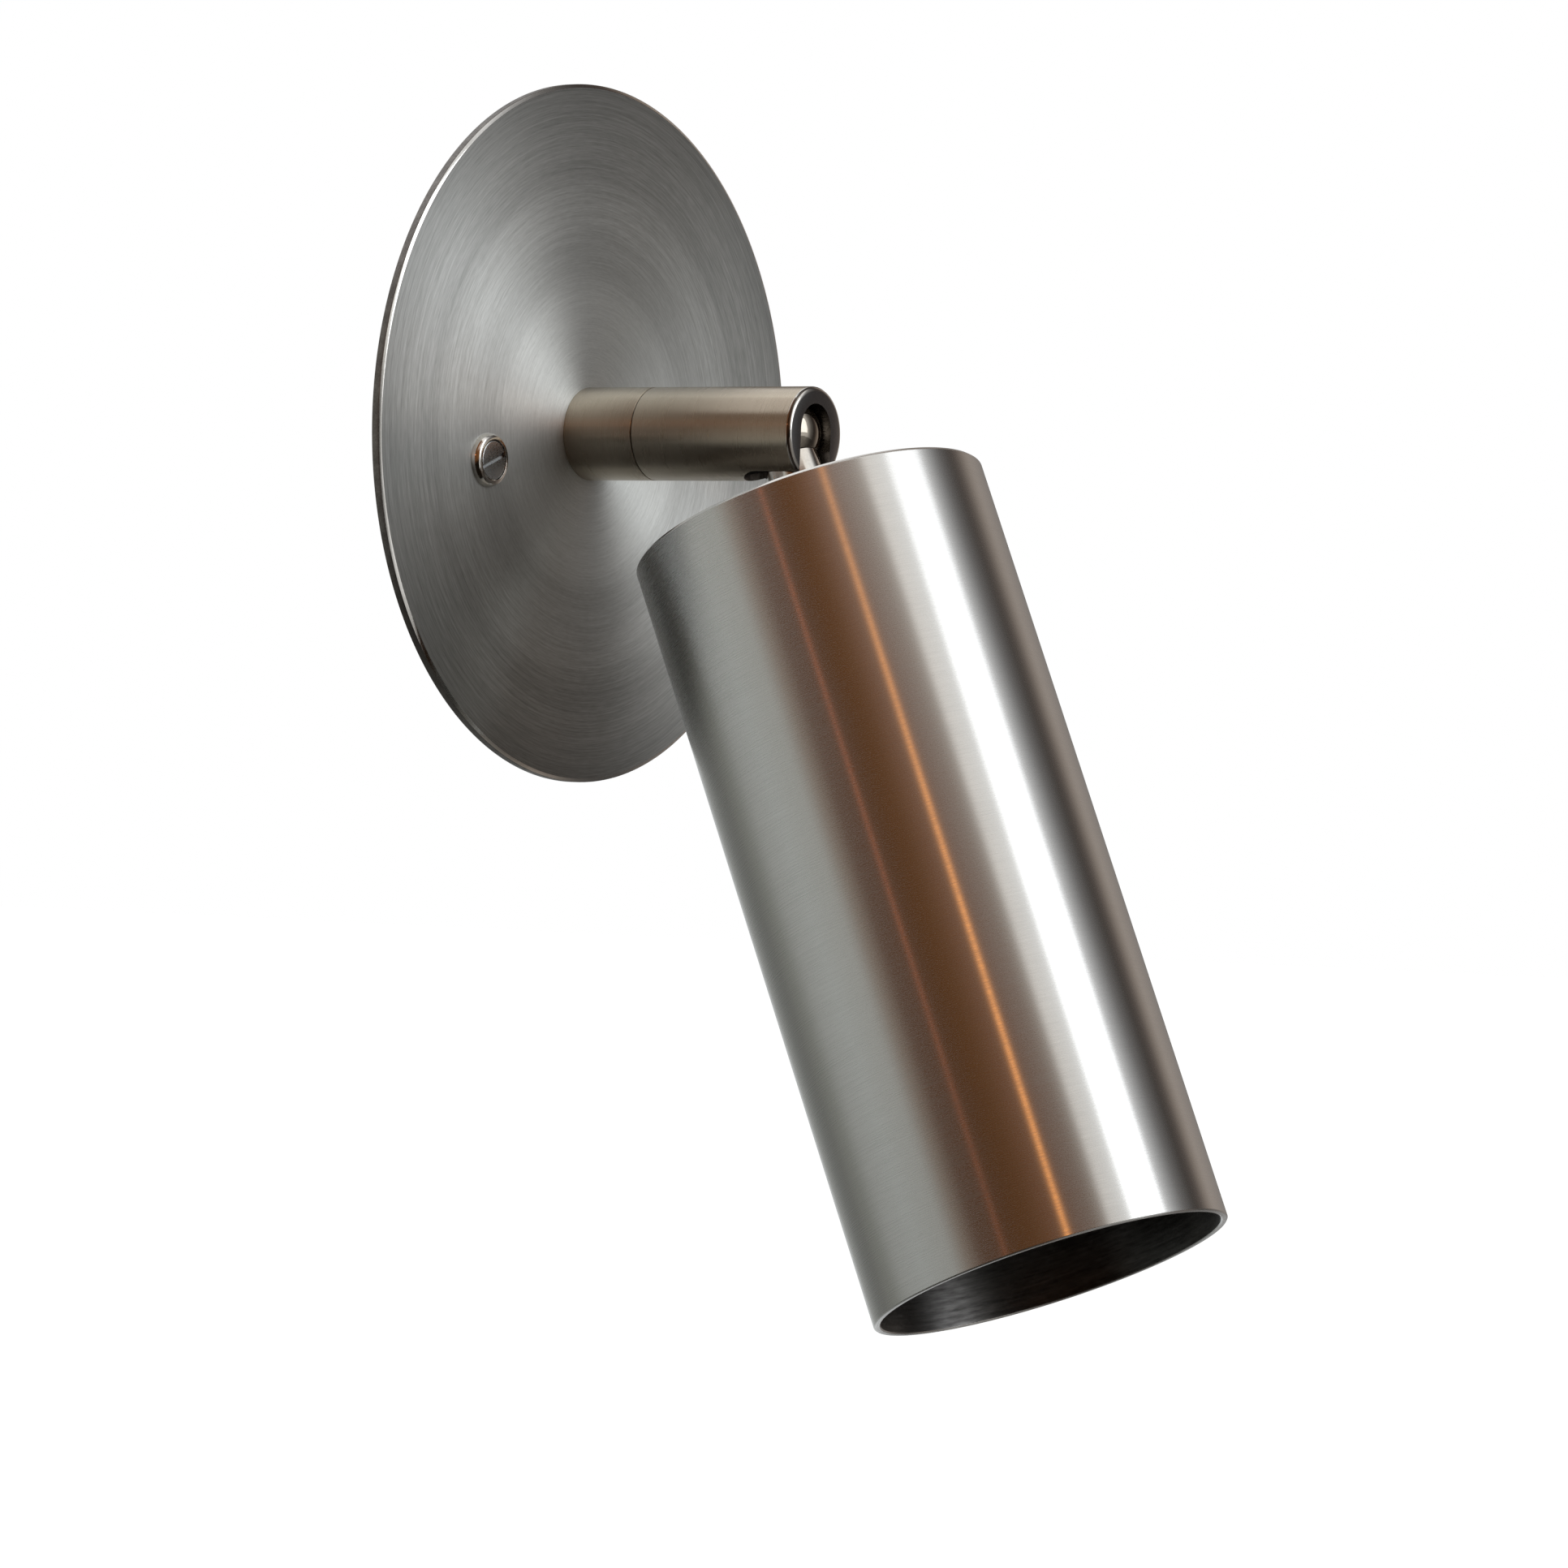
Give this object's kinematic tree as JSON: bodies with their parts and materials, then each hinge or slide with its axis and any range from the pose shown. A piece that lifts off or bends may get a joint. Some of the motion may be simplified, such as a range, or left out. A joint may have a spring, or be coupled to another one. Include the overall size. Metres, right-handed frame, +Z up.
{
  "type": "tube wall light",
  "caption": "Wall spotlight: round brushed plate, short round arm that turns on its foot, and a straight tube shade that tilts on a ball in the arm's slotted end.",
  "frame": {"origin": "centre of the wall plate's back, in the plane of the wall", "axes": "+Y out of the plate's back into the wall, the room towards -Y; +Z up; +X to the right as seen from the room"},
  "size_m": [0.12, 0.1473, 0.2103],
  "materials": {
    "plate_steel": "stainless steel, turned and brushed in circles, clear-lacquered satin",
    "shade_steel": "stainless steel tube, brushed round its axis, satin",
    "arm_steel": "stainless steel bar, finely turned, satin",
    "polished_steel": "turned steel, polished and nickel plated",
    "zinc_steel": "pressed steel, zinc plated",
    "spring_steel": "hardened spring steel, oiled dark",
    "brass": "turned free-cutting brass",
    "seat_polymer": "moulded acetal, black",
    "block_polymer": "moulded polyamide, natural white",
    "holder_ceramic": "pressed steatite, unglazed",
    "lamp_base_glass": "moulded heat-proof base, gloss white",
    "reflector": "pressed glass with an aluminium reflector coat",
    "lens_glass": "pressed glass, finely frosted"
  },
  "bodies": {
    "wall_side": {"wall_plate": "plate_steel", "screw_cups": "polished_steel", "plate_screws": "polished_steel", "arm_collar": "arm_steel", "swivel_nipple": "brass", "stop_pin": "zinc_steel", "swivel_spring": "spring_steel", "swivel_nut": "brass", "nipple_washer": "zinc_steel", "earth_tag": "brass", "terminal_bracket": "zinc_steel", "nipple_lock_washer": "zinc_steel", "nipple_nut": "brass", "terminal_block": "block_polymer", "terminal_sleeves": "brass", "terminal_screws": "zinc_steel", "bracket_screws": "zinc_steel"},
    "arm": {"arm_tube": "arm_steel", "swivel_bush": "brass", "ball_seat": "seat_polymer", "cup_springs": "spring_steel", "preload_ring": "brass"},
    "shade": {"swivel_ball": "polished_steel", "ball_neck": "polished_steel", "shade_cap": "shade_steel", "shade_tube": "shade_steel", "lamp_bracket": "zinc_steel", "neck_lock_washer": "zinc_steel", "neck_nut": "brass", "lampholder": "holder_ceramic", "holder_contacts": "brass", "holder_screws": "zinc_steel", "lamp_base": "lamp_base_glass", "lamp_pins": "zinc_steel", "lamp_shell": "reflector", "lamp_lens": "lens_glass"}
  },
  "joints": [
    {"name": "arm_turn", "type": "hinge", "parent": "wall_side", "child": "arm", "pos_m": [0, -0.0158, 0], "axis": [0, -1, 0], "range_deg": [-160, 160]},
    {"name": "shade_tilt", "type": "hinge", "parent": "arm", "child": "shade", "pos_m": [0, -0.0413, 0], "axis": [-1, 0, 0], "range_deg": [-25.5, 66.5]}
  ]
}
